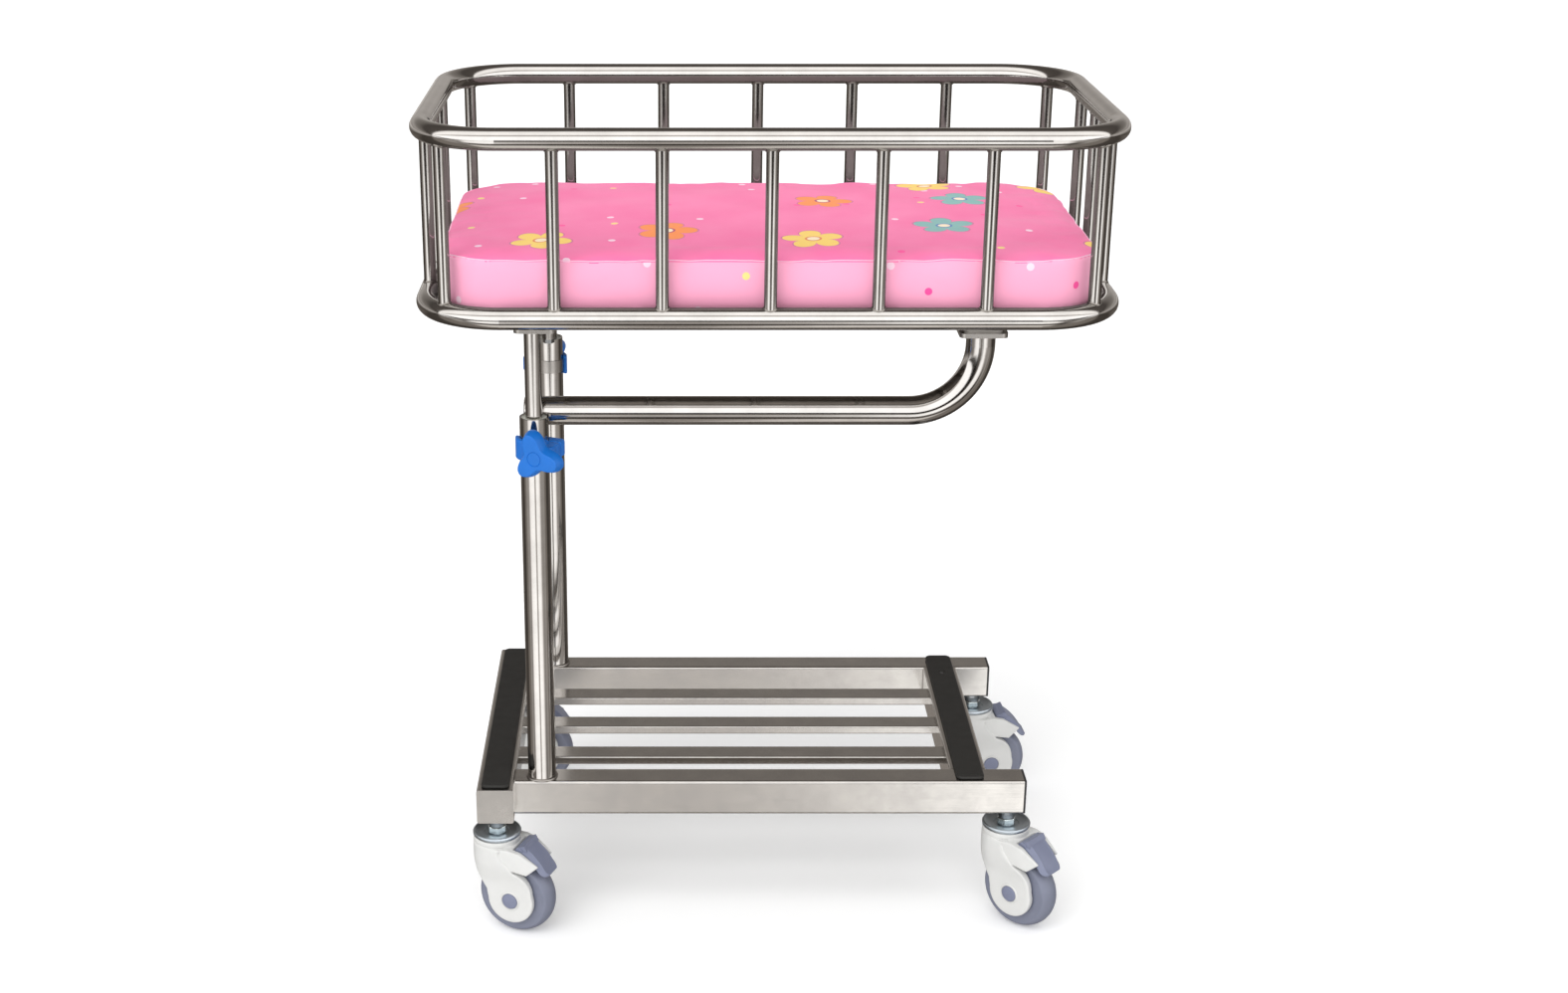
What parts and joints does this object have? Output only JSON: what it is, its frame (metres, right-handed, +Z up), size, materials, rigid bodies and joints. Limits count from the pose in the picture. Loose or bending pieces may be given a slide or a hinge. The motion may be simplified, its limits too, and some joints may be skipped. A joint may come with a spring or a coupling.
{
  "type": "height_adjustable_hospital_baby_crib",
  "caption": "Stainless steel hospital baby crib with a railed bed on a side-mounted lifting frame, a slatted shelf base and braked casters",
  "frame": {"origin": "on the floor, under the middle of the bed and of the base", "axes": "+X along the crib's length away from the masts, +Y to the crib's back, +Z up"},
  "size_m": [0.9, 0.5211, 1.118],
  "materials": {
    "steel": "brushed",
    "screw_steel": "satin",
    "plated": "polished",
    "black_plastic": "satin",
    "pad_rubber": "matte",
    "nylon": "satin",
    "clamp_blue": "satin",
    "white_plastic": "satin",
    "grey_plastic": "satin",
    "tread": "matte",
    "mattress_cloth": "printed cloth cover"
  },
  "bodies": {
    "base": {"front_rail": "steel", "back_rail": "steel", "left_cross_tube": "steel", "right_cross_tube": "steel", "cross_end_plates": "steel", "rail_end_caps": "black_plastic", "shelf_slats": "steel", "left_pad": "pad_rubber", "right_pad": "pad_rubber", "pad_screw": "screw_steel", "front_mast": "steel", "back_mast": "steel", "mast_bushes": "nylon", "front_clamp": "clamp_blue", "back_clamp": "clamp_blue", "clamp_nuts": "screw_steel", "caster_stems": "plated"},
    "carriage": {"front_post": "steel", "back_post": "steel", "post_feet": "nylon", "support_arm": "steel", "arm_end_cap": "steel", "arm_saddle": "steel", "post_flanges": "steel", "arm_flange": "steel", "flange_bolts": "screw_steel", "bed_carriers": "steel", "deck_bars": "steel", "mattress_deck": "steel", "bottom_rail": "steel", "top_rail": "steel", "front_bars": "steel", "back_bars": "steel", "end_bars": "steel"},
    "mattress": {"mattress": "mattress_cloth"},
    "front_knob": {"front_knob": "clamp_blue", "front_screw": "screw_steel"},
    "back_knob": {"back_knob": "clamp_blue", "back_screw": "screw_steel"},
    "front_left_caster": {"front_left_housing": "white_plastic", "front_left_axle": "grey_plastic"},
    "front_left_wheel": {"front_left_wheel": "white_plastic", "front_left_tyre": "tread"},
    "front_left_pedal": {"front_left_pedal": "grey_plastic"},
    "front_right_caster": {"front_right_housing": "white_plastic", "front_right_axle": "grey_plastic"},
    "front_right_wheel": {"front_right_wheel": "white_plastic", "front_right_tyre": "tread"},
    "front_right_pedal": {"front_right_pedal": "grey_plastic"},
    "back_left_caster": {"back_left_housing": "white_plastic", "back_left_axle": "grey_plastic"},
    "back_left_wheel": {"back_left_wheel": "white_plastic", "back_left_tyre": "tread"},
    "back_left_pedal": {"back_left_pedal": "grey_plastic"},
    "back_right_caster": {"back_right_housing": "white_plastic", "back_right_axle": "grey_plastic"},
    "back_right_wheel": {"back_right_wheel": "white_plastic", "back_right_tyre": "tread"},
    "back_right_pedal": {"back_right_pedal": "grey_plastic"}
  },
  "joints": [
    {"name": "bed_lift", "type": "slide", "parent": "base", "child": "carriage", "axis": [0, 0, 1], "range_m": [0, 0.15]},
    {"name": "mattress_lift_out", "type": "slide", "parent": "carriage", "child": "mattress", "axis": [0, 0, 1], "range_m": [0, 0.3]},
    {"name": "front_knob_turn", "type": "hinge", "parent": "base", "child": "front_knob", "pos_m": [-0.27825, -0.19714, 0.693], "axis": [0.4226, 0.9063, 0], "range_deg": [-360, 90]},
    {"name": "back_knob_turn", "type": "hinge", "parent": "base", "child": "back_knob", "pos_m": [-0.32175, 0.19714, 0.693], "axis": [-0.4226, -0.9063, 0], "range_deg": [-360, 90]},
    {"name": "front_left_swivel", "type": "hinge", "parent": "base", "child": "front_left_caster", "pos_m": [-0.362, -0.211, 0.13], "axis": [0, 0, 1], "continuous": true},
    {"name": "front_left_roll", "type": "hinge", "parent": "front_left_caster", "child": "front_left_wheel", "pos_m": [-0.33418, -0.22224, 0.055], "axis": [0.3746, 0.9272, 0], "continuous": true},
    {"name": "front_left_brake", "type": "hinge", "parent": "front_left_caster", "child": "front_left_pedal", "pos_m": [-0.32306, -0.22673, 0.13], "axis": [0.3746, 0.9272, 0], "range_deg": [0, 8]},
    {"name": "front_right_swivel", "type": "hinge", "parent": "base", "child": "front_right_caster", "pos_m": [0.34, -0.187, 0.13], "axis": [0, 0, 1], "continuous": true},
    {"name": "front_right_roll", "type": "hinge", "parent": "front_right_caster", "child": "front_right_wheel", "pos_m": [0.36158, -0.20784, 0.055], "axis": [0.6947, 0.7193, 0], "continuous": true},
    {"name": "front_right_brake", "type": "hinge", "parent": "front_right_caster", "child": "front_right_pedal", "pos_m": [0.37021, -0.21618, 0.13], "axis": [0.6947, 0.7193, 0], "range_deg": [0, 8]},
    {"name": "back_left_swivel", "type": "hinge", "parent": "base", "child": "back_left_caster", "pos_m": [-0.362, 0.211, 0.13], "axis": [0, 0, 1], "continuous": true},
    {"name": "back_left_roll", "type": "hinge", "parent": "back_left_caster", "child": "back_left_wheel", "pos_m": [-0.33204, 0.21257, 0.055], "axis": [-0.0523, 0.9986, 0], "continuous": true},
    {"name": "back_left_brake", "type": "hinge", "parent": "back_left_caster", "child": "back_left_pedal", "pos_m": [-0.32006, 0.2132, 0.13], "axis": [-0.0523, 0.9986, 0], "range_deg": [0, 8]},
    {"name": "back_right_swivel", "type": "hinge", "parent": "base", "child": "back_right_caster", "pos_m": [0.34, 0.187, 0.13], "axis": [0, 0, 1], "continuous": true},
    {"name": "back_right_roll", "type": "hinge", "parent": "back_right_caster", "child": "back_right_wheel", "pos_m": [0.36993, 0.18909, 0.055], "axis": [-0.0698, 0.9976, 0], "continuous": true},
    {"name": "back_right_brake", "type": "hinge", "parent": "back_right_caster", "child": "back_right_pedal", "pos_m": [0.3819, 0.18993, 0.13], "axis": [-0.0698, 0.9976, 0], "range_deg": [0, 8]}
  ]
}
